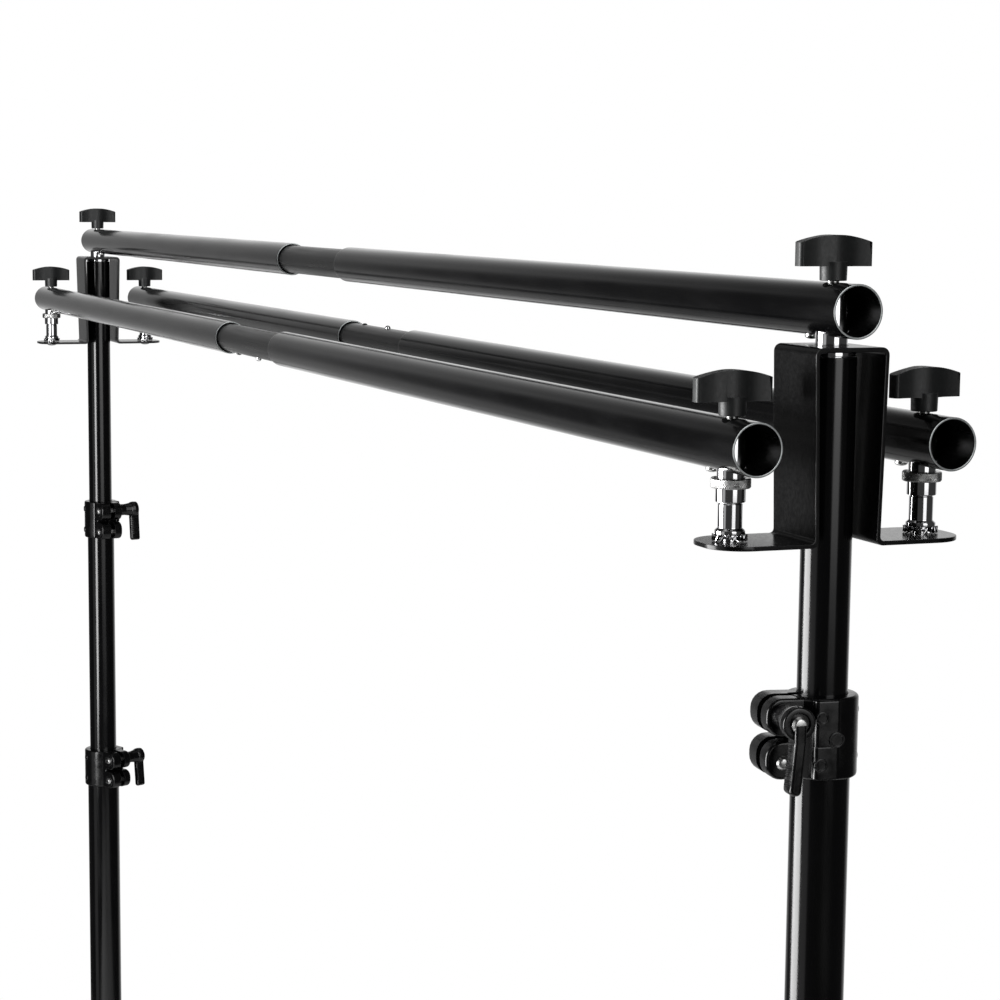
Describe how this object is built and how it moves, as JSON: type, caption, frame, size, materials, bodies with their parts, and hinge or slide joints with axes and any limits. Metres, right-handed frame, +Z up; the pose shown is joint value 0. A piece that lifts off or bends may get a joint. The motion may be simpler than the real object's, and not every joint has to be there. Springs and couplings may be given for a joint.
{
  "type": "background support system",
  "caption": "Backdrop support: tripod stands, each with a bent-steel bracket, joined by parallel telescopic crossbars with T-knobs, lever clamps and folding braced legs.",
  "frame": {"origin": "on the floor, midway between the two stands (bottom centre of the bounding box)", "axes": "+X along the crossbars to the right-hand stand, -Y to the front, +Z up"},
  "size_m": [3.4158, 1.021, 1.8476],
  "materials": {
    "gloss_black": "gloss",
    "tube_satin": "satin",
    "satin_black": "satin",
    "cast_black": "gloss",
    "knob_plastic": "matte",
    "chrome": "polished",
    "rubber": "matte"
  },
  "bodies": {
    "left_base": {"left_base_tube": "gloss_black", "left_lower_clamp": "cast_black", "left_lower_hub": "cast_black"},
    "left_mid": {"left_mid_tube": "gloss_black", "left_upper_clamp": "cast_black"},
    "left_head": {"left_top_tube": "gloss_black", "left_bracket": "satin_black", "left_spigot": "chrome", "left_front_stud": "chrome", "left_rear_stud": "chrome", "top_bar_left_tube": "gloss_black", "front_bar_left_tube": "gloss_black", "rear_bar_left_tube": "gloss_black"},
    "top_connector": {"top_bar_connector": "tube_satin"},
    "front_connector": {"front_bar_connector": "tube_satin"},
    "rear_connector": {"rear_bar_connector": "tube_satin"},
    "right_head": {"right_top_tube": "gloss_black", "right_bracket": "satin_black", "right_spigot": "chrome", "right_front_stud": "chrome", "right_rear_stud": "chrome", "top_bar_right_tube": "gloss_black", "front_bar_right_tube": "gloss_black", "rear_bar_right_tube": "gloss_black"},
    "right_mid": {"right_mid_tube": "gloss_black", "right_upper_clamp": "cast_black"},
    "right_base": {"right_base_tube": "gloss_black", "right_lower_clamp": "cast_black", "right_lower_hub": "cast_black"},
    "left_lower_lever": {"left_lower_lever": "cast_black"},
    "left_upper_lever": {"left_upper_lever": "cast_black"},
    "left_collar": {"left_leg_collar": "cast_black"},
    "left_collar_knob": {"left_collar_knob": "knob_plastic"},
    "left_leg_1": {"left_leg_1": "gloss_black"},
    "left_brace_1": {"left_brace_1": "gloss_black"},
    "left_leg_2": {"left_leg_2": "gloss_black"},
    "left_brace_2": {"left_brace_2": "gloss_black"},
    "left_leg_3": {"left_leg_3": "gloss_black"},
    "left_brace_3": {"left_brace_3": "gloss_black"},
    "right_lower_lever": {"right_lower_lever": "cast_black"},
    "right_upper_lever": {"right_upper_lever": "cast_black"},
    "right_collar": {"right_leg_collar": "cast_black"},
    "right_collar_knob": {"right_collar_knob": "knob_plastic"},
    "right_leg_1": {"right_leg_1": "gloss_black"},
    "right_brace_1": {"right_brace_1": "gloss_black"},
    "right_leg_2": {"right_leg_2": "gloss_black"},
    "right_brace_2": {"right_brace_2": "gloss_black"},
    "right_leg_3": {"right_leg_3": "gloss_black"},
    "right_brace_3": {"right_brace_3": "gloss_black"},
    "top_bar_left_knob": {"top_bar_left_knob": "knob_plastic"},
    "top_bar_right_knob": {"top_bar_right_knob": "knob_plastic"},
    "front_bar_left_knob": {"front_bar_left_knob": "knob_plastic"},
    "front_bar_right_knob": {"front_bar_right_knob": "knob_plastic"},
    "rear_bar_left_knob": {"rear_bar_left_knob": "knob_plastic"},
    "rear_bar_right_knob": {"rear_bar_right_knob": "knob_plastic"}
  },
  "joints": [
    {"name": "lower_section_slide", "type": "slide", "parent": "left_base", "child": "left_mid", "axis": [0, 0, 1], "range_m": [-0.3, 0.26]},
    {"name": "upper_section_slide", "type": "slide", "parent": "left_mid", "child": "left_head", "axis": [0, 0, 1], "range_m": [-0.08, 0.38]},
    {"name": "bar_extension", "type": "slide", "parent": "left_head", "child": "top_connector", "axis": [1, 0, 0], "range_m": [-0.1, 0.3]},
    {"name": "top_bar_right_slide", "type": "slide", "parent": "top_connector", "child": "right_head", "axis": [1, 0, 0], "range_m": [-0.1, 0.3]},
    {"name": "front_bar_connector_slide", "type": "slide", "parent": "left_head", "child": "front_connector", "axis": [1, 0, 0], "range_m": [-0.1, 0.3]},
    {"name": "rear_bar_connector_slide", "type": "slide", "parent": "left_head", "child": "rear_connector", "axis": [1, 0, 0], "range_m": [-0.1, 0.3]},
    {"name": "right_upper_section_slide", "type": "slide", "parent": "right_head", "child": "right_mid", "axis": [0, 0, 1], "range_m": [-0.38, 0.08]},
    {"name": "right_lower_section_slide", "type": "slide", "parent": "right_mid", "child": "right_base", "axis": [0, 0, 1], "range_m": [-0.26, 0.3]},
    {"name": "left_lower_lever_turn", "type": "hinge", "parent": "left_base", "child": "left_lower_lever", "pos_m": [-1.08773, 0.01574, 1.0265], "axis": [-0.4384, 0.8988, 0], "range_deg": [-100, 0]},
    {"name": "left_upper_lever_turn", "type": "hinge", "parent": "left_mid", "child": "left_upper_lever", "pos_m": [-1.08862, 0.00724, 1.4035], "axis": [-0.225, 0.9744, 0], "range_deg": [-100, 0]},
    {"name": "left_leg_fold", "type": "slide", "parent": "left_base", "child": "left_collar", "axis": [0, 0, 1], "range_m": [0, 0.22303]},
    {"name": "left_collar_knob_turn", "type": "hinge", "parent": "left_collar", "child": "left_collar_knob", "pos_m": [-1.14, -0.03464, 0.42955], "axis": [-0.5, -0.866, 0], "range_deg": [0, 450]},
    {"name": "left_leg_1_pivot", "type": "hinge", "parent": "left_collar", "child": "left_leg_1", "pos_m": [-1.16, 0, 0.42955], "axis": [0, -1, 0], "range_deg": [0, 48]},
    {"name": "left_brace_1_pivot", "type": "hinge", "parent": "left_leg_1", "child": "left_brace_1", "pos_m": [-1.3901, 0, 0.24977], "axis": [0, 1, 0], "range_deg": [0, 96]},
    {"name": "left_leg_2_pivot", "type": "hinge", "parent": "left_collar", "child": "left_leg_2", "pos_m": [-1.1, -0.03464, 0.42955], "axis": [0.866, 0.5, 0], "range_deg": [0, 48]},
    {"name": "left_brace_2_pivot", "type": "hinge", "parent": "left_leg_2", "child": "left_brace_2", "pos_m": [-0.98495, -0.23391, 0.24977], "axis": [-0.866, -0.5, 0], "range_deg": [0, 96]},
    {"name": "left_leg_3_pivot", "type": "hinge", "parent": "left_collar", "child": "left_leg_3", "pos_m": [-1.1, 0.03464, 0.42955], "axis": [-0.866, 0.5, 0], "range_deg": [0, 48]},
    {"name": "left_brace_3_pivot", "type": "hinge", "parent": "left_leg_3", "child": "left_brace_3", "pos_m": [-0.98495, 0.23391, 0.24977], "axis": [0.866, -0.5, 0], "range_deg": [0, 96]},
    {"name": "right_lower_lever_turn", "type": "hinge", "parent": "right_base", "child": "right_lower_lever", "pos_m": [1.11625, -0.0357, 1.0265], "axis": [0.9945, -0.1045, 0], "range_deg": [-100, 0]},
    {"name": "right_upper_lever_turn", "type": "hinge", "parent": "right_mid", "child": "right_upper_lever", "pos_m": [1.11663, -0.03202, 1.5395], "axis": [0.9945, -0.1045, 0], "range_deg": [-100, 0]},
    {"name": "right_leg_fold", "type": "slide", "parent": "right_base", "child": "right_collar", "axis": [0, 0, 1], "range_m": [0, 0.22303]},
    {"name": "right_collar_knob_turn", "type": "hinge", "parent": "right_collar", "child": "right_collar_knob", "pos_m": [1.14, -0.03464, 0.42955], "axis": [0.5, -0.866, 0], "range_deg": [0, 450]},
    {"name": "right_leg_1_pivot", "type": "hinge", "parent": "right_collar", "child": "right_leg_1", "pos_m": [1.16, 0, 0.42955], "axis": [0, 1, 0], "range_deg": [0, 48]},
    {"name": "right_brace_1_pivot", "type": "hinge", "parent": "right_leg_1", "child": "right_brace_1", "pos_m": [1.3901, 0, 0.24977], "axis": [0, -1, 0], "range_deg": [0, 96]},
    {"name": "right_leg_2_pivot", "type": "hinge", "parent": "right_collar", "child": "right_leg_2", "pos_m": [1.1, 0.03464, 0.42955], "axis": [-0.866, -0.5, 0], "range_deg": [0, 48]},
    {"name": "right_brace_2_pivot", "type": "hinge", "parent": "right_leg_2", "child": "right_brace_2", "pos_m": [0.98495, 0.23391, 0.24977], "axis": [0.866, 0.5, 0], "range_deg": [0, 96]},
    {"name": "right_leg_3_pivot", "type": "hinge", "parent": "right_collar", "child": "right_leg_3", "pos_m": [1.1, -0.03464, 0.42955], "axis": [0.866, -0.5, 0], "range_deg": [0, 48]},
    {"name": "right_brace_3_pivot", "type": "hinge", "parent": "right_leg_3", "child": "right_brace_3", "pos_m": [0.98495, -0.23391, 0.24977], "axis": [-0.866, 0.5, 0], "range_deg": [0, 96]},
    {"name": "top_bar_left_knob_turn", "type": "hinge", "parent": "left_head", "child": "top_bar_left_knob", "pos_m": [-1.12, 0, 1.8], "axis": [0, 0, 1], "range_deg": [0, 450]},
    {"name": "top_bar_right_knob_turn", "type": "hinge", "parent": "right_head", "child": "top_bar_right_knob", "pos_m": [1.12, 0, 1.8], "axis": [0, 0, 1], "range_deg": [0, 450]},
    {"name": "front_bar_left_knob_turn", "type": "hinge", "parent": "left_head", "child": "front_bar_left_knob", "pos_m": [-1.12, -0.0696, 1.715], "axis": [0, 0, 1], "range_deg": [0, 450]},
    {"name": "front_bar_right_knob_turn", "type": "hinge", "parent": "right_head", "child": "front_bar_right_knob", "pos_m": [1.12, -0.0696, 1.715], "axis": [0, 0, 1], "range_deg": [0, 450]},
    {"name": "rear_bar_left_knob_turn", "type": "hinge", "parent": "left_head", "child": "rear_bar_left_knob", "pos_m": [-1.12, 0.0696, 1.715], "axis": [0, 0, 1], "range_deg": [0, 450]},
    {"name": "rear_bar_right_knob_turn", "type": "hinge", "parent": "right_head", "child": "rear_bar_right_knob", "pos_m": [1.12, 0.0696, 1.715], "axis": [0, 0, 1], "range_deg": [0, 450]}
  ],
  "couplings": [
    {"joint": "top_bar_right_slide", "follows": "bar_extension", "ratio": 1},
    {"joint": "front_bar_connector_slide", "follows": "bar_extension", "ratio": 1},
    {"joint": "rear_bar_connector_slide", "follows": "bar_extension", "ratio": 1},
    {"joint": "right_upper_section_slide", "follows": "upper_section_slide", "ratio": -1},
    {"joint": "right_lower_section_slide", "follows": "lower_section_slide", "ratio": -1},
    {"joint": "left_leg_1_pivot", "follows": "left_leg_fold", "rad_per_m": 3.7562},
    {"joint": "left_brace_1_pivot", "follows": "left_leg_fold", "rad_per_m": 7.5125},
    {"joint": "left_leg_2_pivot", "follows": "left_leg_fold", "rad_per_m": 3.7562},
    {"joint": "left_brace_2_pivot", "follows": "left_leg_fold", "rad_per_m": 7.5125},
    {"joint": "left_leg_3_pivot", "follows": "left_leg_fold", "rad_per_m": 3.7562},
    {"joint": "left_brace_3_pivot", "follows": "left_leg_fold", "rad_per_m": 7.5125},
    {"joint": "right_leg_1_pivot", "follows": "right_leg_fold", "rad_per_m": 3.7562},
    {"joint": "right_brace_1_pivot", "follows": "right_leg_fold", "rad_per_m": 7.5125},
    {"joint": "right_leg_2_pivot", "follows": "right_leg_fold", "rad_per_m": 3.7562},
    {"joint": "right_brace_2_pivot", "follows": "right_leg_fold", "rad_per_m": 7.5125},
    {"joint": "right_leg_3_pivot", "follows": "right_leg_fold", "rad_per_m": 3.7562},
    {"joint": "right_brace_3_pivot", "follows": "right_leg_fold", "rad_per_m": 7.5125}
  ]
}
